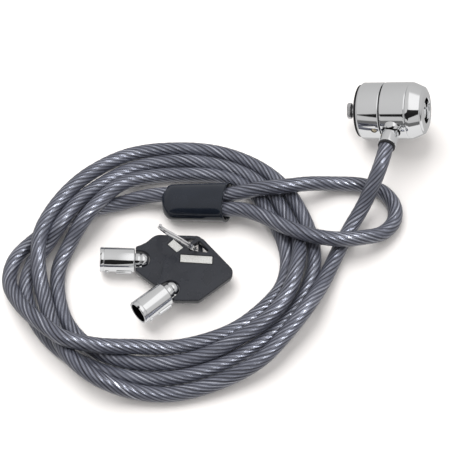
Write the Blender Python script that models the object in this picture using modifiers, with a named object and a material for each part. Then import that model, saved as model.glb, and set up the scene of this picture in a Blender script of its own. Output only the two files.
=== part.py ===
"""Laptop cable lock: swivelling lock head, steel security cable with a crimped loop, two tubular keys.

Units are metres and +Z is up. The lock and its keys lie on the plane z = 0, and the origin is in
the middle of their box, on that plane. The cable is one piece of jacketed steel rope: it leaves the
ferrule, passes over and under its own loop, winds three and a half turns and ends in the crimp.
"""
import math

import bmesh
import bpy
from mathutils import Matrix, Vector

MM = 0.001
GAP = 0.3                     # clearance between pieces that touch, in millimetres
TURN_STEPS = 40               # facets round a large turned piece
PIN_STEPS = 12                # facets round a pin
SPAN_STEPS = 12               # samples between two points of a smooth line
LAYOUT_SHIFT = (-11.8, -10.69, 0.06)   # puts the middle of head and keys on the origin

# Lock head, along its own axis from the slot end (0) to the key face
HEAD_R = 10.6
HEAD_FACE = 25.8
HEAD_START = (46.6, 49.05, 9.4)       # where the axis meets the slot end
HEAD_AXIS = (0.926, -0.205, 0.317)    # the key end is propped up
GROOVE_START, GROOVE_END = 9.6, 10.1
COLLAR_END = 19.5
NOSE_START, CONE_START, CONE_END = 19.8, 20.8, 25.1
CONE_R, FACE_R = 8.75, 8.0
SHELL_BORE_R = 7.7
SLEEVE_R, SLEEVE_BORE_R = 7.4, 5.6
KEYWAY_R, POST_R = 4.7, 3.1
CORE_R, PIN_CIRCLE_R, KEY_PIN_R = 5.3, 4.05, 0.62
PIN_COUNT = 7
SPINDLE_R, NECK_R = 2.0, 1.2
LUG_LENGTH, LUG_WIDTH, LUG_THICK = 6.2, 2.8, 2.1
LUG_ANGLE = math.radians(35.0)

# Cable and its fittings
CABLE_R = 2.75
LONG_RUN_POINTS, LOOP_POINTS = 78, 18
BEND_SHARE = 12.0                     # points crowd together in bends: this length per radian
FERRULE_R, FERRULE_LENGTH, FERRULE_BACK = 3.3, 7.6, 1.4
PIVOT_ALONG, PIVOT_R = 14.1, 9.4
PIVOT_LIFT = math.radians(11.0)       # round the head, up from level
FERRULE_LEAN = math.radians(3.0)      # towards the slot end
COVER_START, COVER_END = -27.4, -1.2
COVER_Y, COVER_Z = 11.7, 5.35
COVER_HALF = ((6.95, 4.8), (7.7, 5.3))  # half width and half height at the two ends
COVER_WALL = 0.8
LEG_OFFSET = 3.03                     # the two legs in the crimp, each side of its middle
CRIMP_START, CRIMP_END = -19.0, -8.0
CRIMP_WIDTH, CRIMP_HEIGHT = 12.7, 6.6
CRIMP_BORE_R = 2.92                   # pressed close on the cable

# Keys: local x runs towards the tube's tip from the bow's end, y is to the left, z is up
TUBE_R, TUBE_BORE_R, TUBE_LENGTH, TUBE_DEPTH = 4.4, 3.5, 12.7, 9.0
BOW_LENGTH, BOW_HALF, BOW_END_HALF, BOW_THICK = 24.2, 10.1, 5.15, 2.6
SHOULDER, BOW_CORNER, HOLE_CORNER = 6.7, 3.4, 2.4
SLOT_DEPTH, SLOT_HALF = 5.2, 3.2
STEM_R = 2.75
TANG_LENGTH, TANG_WIDTH, TANG_THICK = 9.0, 4.0, 0.9
HOLE_APEX, HOLE_LEGS = (-22.6, -8.6), (7.0, 7.4)
PLATE_SIZE, PLATE_AT = (11.4, 3.0, 0.5), (-16.7, -3.3)
PLATE_TURN = math.radians(-43.0)
KEY_PLACES = (
    ((-36.5, -11.8, 4.42), math.radians(181.0), math.radians(5.5)),
    ((-25.0, -26.2, 7.15), math.radians(221.0), math.radians(5.0)),
)

RING_R, RING_WIRE_R, RING_PITCH, RING_TURNS = 7.86, 0.38, 0.86, 1.9
RING_AT = (-21.46, -4.87, 8.06)
RING_FLAT = (-0.839, 0.543, 0.039)    # the level direction in the ring's plane
RING_STEEP = (-0.148, -0.295, 0.944)  # the rising direction in the ring's plane

# The cable's route in millimetres: the long run, from the ferrule's mouth to the crimp
LONG_RUN = (
    # down over the loop's far leg and under its near leg
    (52.2, 21.2, 15.2), (49.4, 15.2, 11.2), (46.2, 9.5, 6.5), (40.5, 0.5, 2.8),
    (35, -11, 2.75), (30.5, -21, 4.5), (25, -31, 7.3), (17.5, -41, 6.8), (8, -51, 5.7),
    (-6, -58.3, 3.8),
    # first turn inwards: outermost in front, second from outside on the left
    (-22, -62.5, 2.9), (-36, -62, 4.5), (-48, -58.5, 8.3), (-58, -50, 8.5), (-64, -39, 7.5),
    (-67.8, -28, 5.5), (-70.3, -19, 6.3), (-71, -11, 8.8), (-70.5, -3, 9.2), (-67.3, 5.6, 8.8),
    (-61.8, 14.3, 8.6), (-53.4, 24.2, 6.2), (-40, 33.5, 3), (-22, 36, 2.75), (-6, 34.2, 2.75),
    (7.9, 28, 2.75), (17.7, 19.1, 2.75), (24, 7.6, 2.75), (27.4, -4, 2.75), (27.5, -14, 2.75),
    (23, -26.5, 2.75), (15.5, -37, 2.75), (4, -46.3, 2.75), (-8, -52.8, 2.75),
    # second turn
    (-22, -56.7, 2.75), (-37, -56.5, 2.75), (-51, -52.3, 2.75), (-64, -43.8, 2.75),
    (-72.5, -32, 2.75), (-75.3, -22, 2.75), (-73.7, -13, 3), (-69, -6, 4.3), (-64.2, 0.4, 7.9),
    (-58.7, 9.6, 7.7), (-50.9, 19, 4.6), (-39, 27.3, 2.75), (-24, 30.6, 2.75), (-8.7, 28.9, 3.3),
    (4.3, 23.7, 3.5), (13.6, 15.3, 2.9), (18.7, 5.8, 3.3), (22.3, -4, 4.7), (21.5, -15, 7.5),
    (17.5, -27, 7.3), (10.5, -36, 6.8), (0, -43, 5.6), (-9.5, -47.8, 4),
    # third turn
    (-22, -51, 2.8), (-37, -50.8, 2.75), (-50, -46, 2.75), (-59.5, -36.5, 2.75),
    (-63.7, -25, 2.75), (-64, -14, 2.75), (-60.8, -5.5, 4), (-56.5, 1.4, 7.5), (-51.3, 9, 8.3),
    (-42.7, 18.7, 6.3), (-31.2, 23.9, 3.2), (-18, 24.9, 2.75), (-4, 23.7, 2.75), (5.7, 17.5, 2.75),
    (11.9, 7.8, 2.75), (16.6, -2.2, 2.75), (18.2, -12.2, 2.75), (15.9, -21.9, 2.75), (9, -30.5, 2.75),
    (0, -37.8, 2.75), (-10, -42.3, 2.75),
    # last half turn: over the others on the left, then under them to the crimp
    (-22, -45.2, 3), (-36, -46, 5.5), (-48, -46.8, 8.6), (-59, -46.2, 13.4), (-67.5, -40, 12.4),
    (-76, -30.5, 7.6), (-81.2, -20.2, 3.4), (-80.2, -11.2, 2.75), (-74.3, -3.6, 2.75), (-65, 4, 2.75),
    (-54, 9.5, 2.75), (-43, 12.6, 2.75), (-35, 14.3, 4.2), (-28.5, 14.75, 5.35),
)
# and the loop, out of the crimp and back, with its end inside the crimp
LOOP = (
    (-5, 14.75, 5.4), (2, 15, 6.8), (9, 15.6, 8.6), (17, 16.5, 8.6),
    (26, 18.5, 7), (35.5, 20.5, 3.7), (46, 20.5, 2.75), (54, 17.5, 2.75), (58, 11.5, 2.75),
    (57.5, 5, 2.75), (53, -0.5, 4), (46.5, -3.5, 6.5), (38, -5.5, 8.7), (28, -4.7, 9.5),
    (17.5, -1, 9.6), (9, 4.4, 8.2), (2, 7.8, 6.5), (-5, 8.65, 5.4),
)
CABLE_END = (-18.5, 8.67, 5.35)

# Colours: name to base colour, metallic, roughness
MATERIALS = {
    "chrome": ((0.78, 0.79, 0.80), 1.0, 0.10),
    "steel": ((0.55, 0.56, 0.58), 1.0, 0.30),
    "brass": ((0.70, 0.58, 0.35), 1.0, 0.35),
    "aluminium": ((0.72, 0.72, 0.73), 1.0, 0.40),
    "rubber": ((0.02, 0.02, 0.02), 0.0, 0.60),
    "jacket": ((0.13, 0.13, 0.15), 0.0, 0.25),
    "plastic": ((0.03, 0.035, 0.04), 0.0, 0.30),
    "plate": ((0.75, 0.75, 0.73), 0.6, 0.45),
}


def start_empty():
    for obj in list(bpy.data.objects):
        bpy.data.objects.remove(obj, do_unlink=True)
    scene = bpy.context.scene
    parts = bpy.data.collections.new("laptop_cable_lock")
    cutters = bpy.data.collections.new("cutters")
    scene.collection.children.link(parts)
    scene.collection.children.link(cutters)
    return parts, cutters


def make_materials():
    made = {}
    for name, (colour, metallic, roughness) in MATERIALS.items():
        material = bpy.data.materials.new(name)
        material.use_nodes = True
        shader = material.node_tree.nodes["Principled BSDF"]
        shader.inputs["Base Color"].default_value = (*colour, 1.0)
        shader.inputs["Metallic"].default_value = metallic
        shader.inputs["Roughness"].default_value = roughness
        made[name] = material
    return made


def place(obj, collection, parent=None, matrix=None):
    collection.objects.link(obj)
    obj.parent = parent
    obj.matrix_local = matrix or Matrix.Identity(4)
    return obj


def empty(name, collection, matrix, parent=None):
    return place(bpy.data.objects.new(name, None), collection, parent, matrix)


def frame_at(origin, z_axis, x_hint):
    """A frame in metres whose z runs along z_axis, from millimetre coordinates."""
    z = Vector(z_axis).normalized()
    x = Vector(x_hint)
    x = (x - z * x.dot(z)).normalized()
    y = z.cross(x)
    turn = Matrix((x, y, z)).transposed().to_4x4()
    return Matrix.Translation(Vector(origin) * MM) @ turn


def turned(name, profile, closed=False, steps=TURN_STEPS):
    """A solid turned round z from (radius, height) points in millimetres, running down its outer side."""
    mesh = bpy.data.meshes.new(name)
    points = [(radius * MM, 0.0, height * MM) for radius, height in profile]
    edges = [(i, i + 1) for i in range(len(points) - 1)]
    if closed:
        edges.append((len(points) - 1, 0))
    mesh.from_pydata(points, edges, [])
    obj = bpy.data.objects.new(name, mesh)
    screw = obj.modifiers.new("turn", "SCREW")
    screw.axis = "Z"
    screw.steps = screw.render_steps = steps
    screw.use_merge_vertices = True
    screw.merge_threshold = 0.00001
    screw.use_smooth_shade = True
    return obj


def rod(name, radius, low, high, steps=PIN_STEPS):
    return turned(name, [(0, high), (radius, high), (radius, low), (0, low)], steps=steps)


def ring(name, outer, inner, low, high, steps=TURN_STEPS):
    return turned(name, [(outer, high), (outer, low), (inner, low), (inner, high)], True, steps)


def box(name, size, middle):
    mesh = bpy.data.meshes.new(name)
    shape = bmesh.new()
    bmesh.ops.create_cube(shape, size=1.0)
    bmesh.ops.scale(shape, vec=Vector(size) * MM, verts=shape.verts)
    bmesh.ops.translate(shape, vec=Vector(middle) * MM, verts=shape.verts)
    shape.to_mesh(mesh)
    shape.free()
    return bpy.data.objects.new(name, mesh)


def plate(name, outlines, thick, height=0.0):
    """A flat piece from closed outlines in millimetres, the first its edge and the rest its holes."""
    curve = bpy.data.curves.new(name, "CURVE")
    curve.dimensions = "2D"
    curve.fill_mode = "BOTH"
    curve.extrude = thick / 2 * MM
    for outline in outlines:
        spline = curve.splines.new("POLY")
        spline.points.add(len(outline) - 1)
        for point, (x, y) in zip(spline.points, outline):
            point.co = (x * MM, y * MM, 0.0, 1.0)
        spline.use_cyclic_u = True
    guide = bpy.data.objects.new(name + "_outline", curve)
    bpy.context.scene.collection.objects.link(guide)
    mesh = solid_mesh(guide)
    mesh.name = name
    mesh.transform(Matrix.Translation((0, 0, height * MM)))
    return bpy.data.objects.new(name, mesh)


def solid_mesh(guide):
    """The welded mesh of a curve object, which is then removed."""
    bpy.context.view_layer.update()
    seen = guide.evaluated_get(bpy.context.evaluated_depsgraph_get())
    mesh = bpy.data.meshes.new_from_object(seen)
    shape = bmesh.new()
    shape.from_mesh(mesh)
    bmesh.ops.remove_doubles(shape, verts=shape.verts, dist=0.000001)
    shape.to_mesh(mesh)
    shape.free()
    bpy.data.objects.remove(guide, do_unlink=True)
    return mesh


def combine(obj, tool, collection, operation="DIFFERENCE"):
    """Cuts or joins with a tool object that stays hidden among the cutters."""
    if tool.name not in collection.objects:
        collection.objects.link(tool)
    tool.parent = obj
    tool.hide_render = True
    tool.display_type = "WIRE"
    boolean = obj.modifiers.new(operation.lower(), "BOOLEAN")
    boolean.object = tool
    boolean.operation = operation
    boolean.solver = "EXACT"


def tube(name, points, radius, resolution, closed=False):
    curve = bpy.data.curves.new(name, "CURVE")
    curve.dimensions = "3D"
    curve.bevel_depth = radius * MM
    curve.bevel_resolution = resolution
    curve.use_fill_caps = True
    spline = curve.splines.new("POLY")
    spline.points.add(len(points) - 1)
    for point, place_mm in zip(spline.points, points):
        point.co = (*(Vector(place_mm) * MM), 1.0)
    spline.use_cyclic_u = closed
    return bpy.data.objects.new(name, curve)


def smooth_line(points):
    """A centripetal curve through the points, sampled closely."""
    ends = [points[0] * 2 - points[1], *points, points[-1] * 2 - points[-2]]
    line = []
    for a, b, c, d in zip(ends, ends[1:], ends[2:], ends[3:]):
        t1 = (b - a).length ** 0.5
        t2 = t1 + (c - b).length ** 0.5
        t3 = t2 + (d - c).length ** 0.5
        for step in range(SPAN_STEPS):
            t = t1 + (t2 - t1) * step / SPAN_STEPS
            ab = a.lerp(b, t / t1)
            bc = b.lerp(c, (t - t1) / (t2 - t1))
            cd = c.lerp(d, (t - t2) / (t3 - t2))
            abc = ab.lerp(bc, t / t2)
            bcd = bc.lerp(cd, (t - t1) / (t3 - t1))
            line.append(abc.lerp(bcd, (t - t1) / (t2 - t1)))
    return [*line, points[-1]]


def spread_evenly(line, count):
    """The given number of points along a line, closer together where it bends."""
    marks = [0.0]
    for i in range(len(line) - 1):
        step = line[i + 1] - line[i]
        turn = step.angle(line[i] - line[i - 1]) if i else 0.0
        marks.append(marks[-1] + step.length + BEND_SHARE * turn)
    even, at = [], 0
    for index in range(count):
        want = marks[-1] * index / (count - 1)
        while at < len(line) - 2 and marks[at + 1] < want:
            at += 1
        even.append(line[at].lerp(line[at + 1], (want - marks[at]) / (marks[at + 1] - marks[at])))
    return even


class Builder:
    """Keeps the collections and materials that every piece is placed with."""

    def __init__(self):
        self.parts, self.cutters = start_empty()
        self.materials = make_materials()
        self.layout = empty("layout", self.parts, Matrix.Translation(Vector(LAYOUT_SHIFT) * MM))

    def add(self, obj, material, parent=None, matrix=None):
        obj.data.materials.clear()
        obj.data.materials.append(self.materials[material])
        return place(obj, self.parts, parent or self.layout, matrix)

    def cut(self, obj, tool, matrix=None, operation="DIFFERENCE"):
        combine(obj, tool, self.cutters, operation)
        tool.matrix_local = matrix or Matrix.Identity(4)


def head_frame():
    return frame_at(HEAD_START, HEAD_AXIS, (0.0, -1.0, 0.0))


def ferrule_frame():
    """The pivot's frame in the layout: z runs out along the ferrule, y along the cross pin."""
    head = head_frame().to_3x3()
    level, down, along = head.col[0], head.col[1], head.col[2]
    out = math.cos(PIVOT_LIFT) * level - math.sin(PIVOT_LIFT) * down
    middle = Vector(HEAD_START) + along * PIVOT_ALONG + out * PIVOT_R
    aim = math.cos(FERRULE_LEAN) * out - math.sin(FERRULE_LEAN) * along
    return frame_at(middle, aim, along)


def make_shells(build, head):
    rear = [
        (HEAD_R - 0.2, GROOVE_START), (HEAD_R, GROOVE_START - 0.2), (HEAD_R, 1.8), (9.9, 1.0), (9.6, 1.0),
        (9.6, 3.4), (SHELL_BORE_R, 3.4), (SHELL_BORE_R, GROOVE_START),
    ]
    rear_barrel = build.add(turned("rear_barrel", rear, True), "chrome", head)
    pin_frame = frame_at((0, 0, 7.6), (1.0, -0.25, 0.0), (0, 0, 1))
    build.cut(rear_barrel, rod("pin_hole", 1.3, SLEEVE_R - 0.5, HEAD_R + 1), pin_frame)
    pin = rod("retaining_pin", 1.0, SLEEVE_R + GAP, HEAD_R - 0.25, 16)
    build.add(pin, "brass", head, pin_frame)
    build.add(ring("rear_plate", 9.3, NECK_R + GAP, 1.0, 3.1), "steel", head)
    build.add(ring("rubber_washer", 9.75, NECK_R + 0.8, 0.0, 0.7), "rubber", head)
    build.add(ring("inner_sleeve", SLEEVE_R, SLEEVE_BORE_R, 3.7, 22.9), "steel", head)
    nose = [
        (KEYWAY_R + 0.3, HEAD_FACE), (FACE_R - 0.7, HEAD_FACE - 0.1), (FACE_R, HEAD_FACE - 0.5),
        (CONE_R, CONE_END), (HEAD_R, CONE_START), (HEAD_R, NOSE_START + 0.2), (HEAD_R - 0.2, NOSE_START),
        (SHELL_BORE_R, NOSE_START), (SHELL_BORE_R, 23.2), (KEYWAY_R, 23.2), (KEYWAY_R, HEAD_FACE - 0.3),
    ]
    build.add(turned("nose_barrel", nose, True), "chrome", head)


def make_collar(build, head):
    profile = [
        (HEAD_R - 0.2, COLLAR_END), (HEAD_R, COLLAR_END - 0.2), (HEAD_R, GROOVE_END + 0.2),
        (HEAD_R - 0.2, GROOVE_END), (SHELL_BORE_R, GROOVE_END), (SHELL_BORE_R, COLLAR_END),
    ]
    collar = build.add(turned("swivel_collar", profile, True), "chrome", head)
    pocket = head_frame().inverted() @ ferrule_frame()
    build.cut(collar, rod("ferrule_pocket", FERRULE_R + 0.5, -5.0, 8.0, 32), pocket)
    across = pocket @ Matrix.Rotation(math.radians(-90), 4, "X")
    build.cut(collar, rod("cross_pin_hole", 0.8, -7.0, 7.0), across)


def make_ferrule(build):
    joint = empty("ferrule_pivot", build.parts, ferrule_frame(), build.layout)
    back = FERRULE_BACK
    profile = [
        (CABLE_R + GAP, FERRULE_LENGTH), (FERRULE_R - 0.15, FERRULE_LENGTH),
        (FERRULE_R, FERRULE_LENGTH - 0.2),
        (FERRULE_R, 0.9), (FERRULE_R - 0.35, -0.3), (FERRULE_R - 1.4, -back), (0.0, -back),
    ]
    bore = [(0.0, 2.4), (CABLE_R + GAP, 2.4)]
    ferrule = build.add(turned("cable_ferrule", bore + profile, steps=32), "chrome", joint)
    across = Matrix.Rotation(math.radians(-90), 4, "X")
    build.cut(ferrule, rod("ferrule_pin_hole", 0.8, -5.0, 5.0), across)
    build.add(rod("ferrule_pin", 0.5, -4.6, 4.6), "steel", joint, across)
    return joint


def mouth_of(joint_frame):
    """The ferrule's mouth and aim in layout millimetres."""
    aim = joint_frame.to_3x3().col[2]
    return joint_frame.translation / MM + aim * FERRULE_LENGTH, aim


def make_seal(build, joint):
    low, high = FERRULE_LENGTH + GAP, FERRULE_LENGTH + GAP + 0.7
    build.add(ring("ferrule_seal", FERRULE_R - 0.1, CABLE_R + GAP, low, high, 24), "rubber", joint)


def make_lock_works(build, head):
    cylinder = [
        (CORE_R, 15.4), (CORE_R, 9.0), (SPINDLE_R + GAP, 9.0), (SPINDLE_R + GAP, 15.4),
        (2.9, 15.4), (2.9, 13.9), (4.95, 13.9), (4.95, 15.4),
    ]
    build.add(turned("lock_cylinder", cylinder, True), "brass", head)
    core = empty("core_axis", build.parts, Matrix.Identity(4), head)
    body = [
        (0, 24.9), (POST_R - 0.4, 24.9), (POST_R, 24.5), (POST_R, 18.6), (CORE_R, 18.6), (CORE_R, 15.8),
        (SPINDLE_R, 15.8), (SPINDLE_R, 14.2), (0, 14.2),
    ]
    lock_core = build.add(turned("lock_core", body), "steel", core)
    for index in range(PIN_COUNT):
        angle = 2 * math.pi * (index + 0.25) / PIN_COUNT
        middle = Matrix.Translation(Vector((math.cos(angle), math.sin(angle), 0)) * PIN_CIRCLE_R * MM)
        hole = rod(f"key_pin_hole_{index + 1}", KEY_PIN_R + 0.22, 15.0, 19.4)
        build.cut(lock_core, hole, middle)
        tip = [(0, 20.0), (KEY_PIN_R - 0.2, 20.0), (KEY_PIN_R, 19.8), (KEY_PIN_R, 15.9), (0, 15.9)]
        pin = turned(f"key_pin_{index + 1}", tip, steps=PIN_STEPS)
        build.add(pin, "brass", core, middle)
    build.add(rod("lock_spindle", SPINDLE_R, 4.6, 13.9, 20), "steel", core)
    clip = [(math.cos(a) * r, math.sin(a) * r) for r, a in clip_outline()]
    build.add(plate("retaining_clip", [clip], 0.6, 8.2), "steel", core)
    neck = turned(
        "t_bar",
        [(0, 4.3), (SPINDLE_R, 4.3), (SPINDLE_R, 3.6), (NECK_R, 3.6), (NECK_R, -3.6), (0, -3.6)], steps=20,
    )
    build.add(neck, "steel", core)
    build.cut(neck, plate("lug", [stadium(LUG_LENGTH, LUG_WIDTH)], LUG_THICK, -4.0),
              Matrix.Rotation(LUG_ANGLE, 4, "Z"), "UNION")
    return core


def clip_outline():
    """A C-shaped snap ring: out along the outer edge and back along the inner one."""
    gap, steps = math.radians(28.0), 18
    angles = [gap + (2 * math.pi - 2 * gap) * i / steps for i in range(steps + 1)]
    return [(3.9, a) for a in angles] + [(SPINDLE_R + GAP, a) for a in reversed(angles)]


def stadium(length, width, steps=8):
    half, radius = length / 2 - width / 2, width / 2
    outline = []
    for side, start in ((1, -math.pi / 2), (-1, math.pi / 2)):
        for i in range(steps + 1):
            angle = start + math.pi * i / steps
            outline.append((side * half + radius * math.cos(angle), radius * math.sin(angle)))
    return outline


def make_cable(build):
    mouth, aim = mouth_of(ferrule_frame())
    start = [mouth - aim * 4.8, mouth + aim]
    route = [*start, *[Vector(point) for point in (*LONG_RUN, *LOOP)], Vector(CABLE_END)]
    line = smooth_line(route)
    line = [Vector((point.x, point.y, max(point.z, CABLE_R))) for point in line]
    crimp_at = (1 + len(LONG_RUN)) * SPAN_STEPS
    loop_start, loop_end = crimp_at + SPAN_STEPS, crimp_at + len(LOOP) * SPAN_STEPS
    long_run = spread_evenly(line[SPAN_STEPS:crimp_at + 1], LONG_RUN_POINTS)
    loop = spread_evenly(line[loop_start:loop_end + 1], LOOP_POINTS)
    cable = tube("security_cable", [start[0], *long_run, *loop, route[-1]], CABLE_R, 3)
    build.add(cable, "jacket")


def oval(half_width, half_height, along, steps=28):
    """An upright oval across the cover at the given place, as points in layout millimetres."""
    turn = 2 * math.pi / steps
    return [
        Vector((
            along,
            COVER_Y + half_width * math.cos(turn * i),
            COVER_Z + half_height * math.sin(turn * i),
        ))
        for i in range(steps)
    ]


def loft(name, sections):
    """A closed solid through rings of equal count, with flat ends."""
    mesh = bpy.data.meshes.new(name)
    shape = bmesh.new()
    rings = [[shape.verts.new(point * MM) for point in section] for section in sections]
    count = len(rings[0])
    for near, far in zip(rings, rings[1:]):
        for i in range(count):
            shape.faces.new((near[i], near[(i + 1) % count], far[(i + 1) % count], far[i]))
    shape.faces.new(list(reversed(rings[0])))
    shape.faces.new(rings[-1])
    bmesh.ops.recalc_face_normals(shape, faces=shape.faces)
    shape.to_mesh(mesh)
    shape.free()
    return bpy.data.objects.new(name, mesh)


def cover_half(along):
    (w0, h0), (w1, h1) = COVER_HALF
    t = (along - COVER_START) / (COVER_END - COVER_START)
    return w0 + (w1 - w0) * t, h0 + (h1 - h0) * t


def make_sleeve(build):
    length = COVER_END - COVER_START
    outer = []
    for t, inset in ((0.0, 0.8), (0.03, 0.25), (0.09, 0.0), (0.5, 0.0), (1.0, 0.0)):
        along = COVER_START + t * length
        w, h = cover_half(along)
        outer.append(oval(w - inset, h - inset, along))
    cover = build.add(loft("sleeve_cover", outer), "plastic")
    inner = []
    for along in (COVER_START + 3.2, CRIMP_END, COVER_END + 1.0):
        w, h = cover_half(along)
        inner.append(oval(w - COVER_WALL, h - COVER_WALL + 0.2, along))
    build.cut(cover, loft("cover_hollow", inner))
    entry = rod("cable_entry", CABLE_R + GAP, -6.0, 6.0, 24)
    leg_frame = frame_at((COVER_START, COVER_Y + LEG_OFFSET, COVER_Z), (1, 0, 0), (0, 0, 1))
    build.cut(cover, entry, leg_frame)
    crimp = plate("crimp_sleeve", [stadium(CRIMP_WIDTH, CRIMP_HEIGHT)], CRIMP_END - CRIMP_START)
    middle = ((CRIMP_START + CRIMP_END) / 2, COVER_Y, COVER_Z)
    crimp = build.add(crimp, "aluminium", None, frame_at(middle, (1, 0, 0), (0, 1, 0)))
    for side in (1, -1):
        hole = rod(f"crimp_hole_{'far' if side > 0 else 'near'}", CRIMP_BORE_R, -9.0, 9.0, 20)
        build.cut(crimp, hole, Matrix.Translation((side * LEG_OFFSET * MM, 0, 0)))


def arc(middle, radius, start, end, steps):
    for i in range(steps + 1):
        angle = math.radians(start + (end - start) * i / steps)
        yield middle[0] + radius * math.cos(angle), middle[1] + radius * math.sin(angle)


def bow_outline():
    """Anticlockwise from the tube end's left corner: straight left shoulder, hollow right shoulder."""
    corner, tight = BOW_CORNER, HOLE_CORNER
    outline = [(0.0, BOW_END_HALF), (-SHOULDER, BOW_HALF)]
    outline += arc((-BOW_LENGTH + corner, BOW_HALF - corner), corner, 90, 180, 5)
    outline += arc((-BOW_LENGTH + tight, -BOW_HALF + tight), tight, 180, 270, 5)
    outline += [(-SHOULDER - 1.2, -BOW_HALF), (-SHOULDER + 0.4, -BOW_HALF + 0.7)]
    outline += [(-SHOULDER + 2.4, -BOW_END_HALF - 2.0), (-2.4, -BOW_END_HALF - 0.7), (0.0, -BOW_END_HALF)]
    outline += [(0.0, -SLOT_HALF)]
    outline += arc((-SLOT_DEPTH + SLOT_HALF, 0.0), SLOT_HALF, 270, 90, 8)
    outline += [(0.0, SLOT_HALF)]
    return outline


def ring_hole():
    x, y = HOLE_APEX
    return [(x, y), (x, y + HOLE_LEGS[1]), (x + HOLE_LEGS[0], y)]


def make_key(build, number, origin, heading, pitch):
    level = math.cos(pitch)
    along = Vector((math.cos(heading) * level, math.sin(heading) * level, math.sin(pitch)))
    left = Vector((-math.sin(heading), math.cos(heading), 0.0))
    key_frame = frame_at(origin, along.cross(left), along)
    key = empty(f"key_{number}", build.parts, key_frame, build.layout)
    name = f"key_{number}"
    lengthwise = frame_at((0, 0, 0), (1, 0, 0), (0, 1, 0))

    tube_profile = [
        (TUBE_BORE_R, TUBE_LENGTH), (TUBE_R - 0.2, TUBE_LENGTH), (TUBE_R, TUBE_LENGTH - 0.25),
        (TUBE_R, 0.5), (TUBE_R - 0.3, 0.3), (2.5, 0.3), (2.5, TUBE_LENGTH - TUBE_DEPTH),
        (TUBE_BORE_R, TUBE_LENGTH - TUBE_DEPTH),
    ]
    key_tube = build.add(turned(f"{name}_tube", tube_profile, True, 32), "chrome", key, lengthwise)
    notch = box(f"{name}_notch", (1.5, 3.0, 1.2), (0, TUBE_R, TUBE_LENGTH))
    build.cut(key_tube, notch)
    stem_profile = [
        (0, 3.4), (2.2, 3.4), (2.2, 0.0), (STEM_R, 0.0), (STEM_R, -1.6), (STEM_R - 0.5, -1.9),
        (STEM_R, -2.2), (STEM_R, -3.2), (STEM_R - 0.6, -4.2), (STEM_R - 1.6, -4.8), (0, -4.8),
    ]
    stem = build.add(turned(f"{name}_stem", stem_profile, steps=24), "chrome", key, lengthwise)
    tang = box(f"{name}_tang", (TANG_WIDTH, TANG_THICK, TANG_LENGTH), (0, 0, -4.4 - TANG_LENGTH / 2))
    build.cut(stem, tang, None, "UNION")
    bow = build.add(plate(f"{name}_bow", [bow_outline(), ring_hole()], BOW_THICK), "plastic", key)
    pocket_length = TANG_LENGTH + 1.5
    pocket = box(
        f"{name}_tang_pocket", (pocket_length, TANG_WIDTH + 2 * GAP, TANG_THICK + 2 * GAP),
        (-SLOT_DEPTH + 1.0 - pocket_length / 2, 0, 0),
    )
    build.cut(bow, pocket)
    length, width, thick = PLATE_SIZE
    level = BOW_THICK / 2 + 0.1 - thick / 2
    seat = Matrix.Translation(Vector((*PLATE_AT, level)) * MM) @ Matrix.Rotation(PLATE_TURN, 4, "Z")
    recess = box(f"{name}_plate_recess", (length + 2 * GAP, width + 2 * GAP, thick + 2 * GAP), (0, 0, 0))
    build.cut(bow, recess, seat)
    build.add(box(f"{name}_plate", PLATE_SIZE, (0, 0, 0)), "plate", key, seat)


def make_ring(build):
    flat, steep = Vector(RING_FLAT).normalized(), Vector(RING_STEEP).normalized()
    across = flat.cross(steep)
    steps = int(22 * RING_TURNS)
    points = []
    for i in range(steps + 1):
        turn = RING_TURNS * i / steps
        angle = 2 * math.pi * turn + math.radians(70)
        offset = across * RING_PITCH * (turn - RING_TURNS / 2)
        out = flat * math.cos(angle) + steep * math.sin(angle)
        points.append(Vector(RING_AT) + RING_R * out + offset)
    build.add(tube("key_ring", points, RING_WIRE_R, 1), "steel")


def main():
    build = Builder()
    head = empty("head_axis", build.parts, head_frame(), build.layout)
    make_shells(build, head)
    make_collar(build, head)
    make_lock_works(build, head)
    joint = make_ferrule(build)
    make_seal(build, joint)
    make_cable(build)
    make_sleeve(build)
    for number, (origin, heading, pitch) in enumerate(KEY_PLACES, start=1):
        make_key(build, number, origin, heading, pitch)
    make_ring(build)


main()
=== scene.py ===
"""Looks for the laptop cable lock: polished head, twisted steel cable in a smoky jacket, two tubular keys."""
import math

import bmesh
import bpy
from mathutils import Matrix, Vector


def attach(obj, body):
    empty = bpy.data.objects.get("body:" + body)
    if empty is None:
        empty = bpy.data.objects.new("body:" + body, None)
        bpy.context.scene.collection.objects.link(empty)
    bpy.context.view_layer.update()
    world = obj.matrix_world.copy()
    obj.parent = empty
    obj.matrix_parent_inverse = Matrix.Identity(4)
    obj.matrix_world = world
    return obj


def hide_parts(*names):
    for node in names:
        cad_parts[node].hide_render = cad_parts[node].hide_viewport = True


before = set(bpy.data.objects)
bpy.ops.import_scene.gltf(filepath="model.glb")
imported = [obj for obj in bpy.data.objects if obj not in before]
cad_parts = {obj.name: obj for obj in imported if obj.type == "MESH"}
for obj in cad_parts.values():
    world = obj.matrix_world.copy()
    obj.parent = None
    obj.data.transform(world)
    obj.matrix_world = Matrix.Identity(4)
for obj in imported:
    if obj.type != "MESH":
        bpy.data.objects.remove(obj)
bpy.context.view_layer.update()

MM = 0.001
SHIFT = Vector((-11.8, -10.69, 0.06))     # millimetres, as in the CAD
UP = Vector((0.0, 0.0, 1.0))


# ---------------------------------------------------------------- placing

def frame_at(origin, z_axis, x_hint):
    z = Vector(z_axis).normalized()
    x = Vector(x_hint)
    x = (x - z * x.dot(z)).normalized()
    y = z.cross(x)
    return Matrix.Translation(Vector(origin) * MM) @ Matrix((x, y, z)).transposed().to_4x4()


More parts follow.
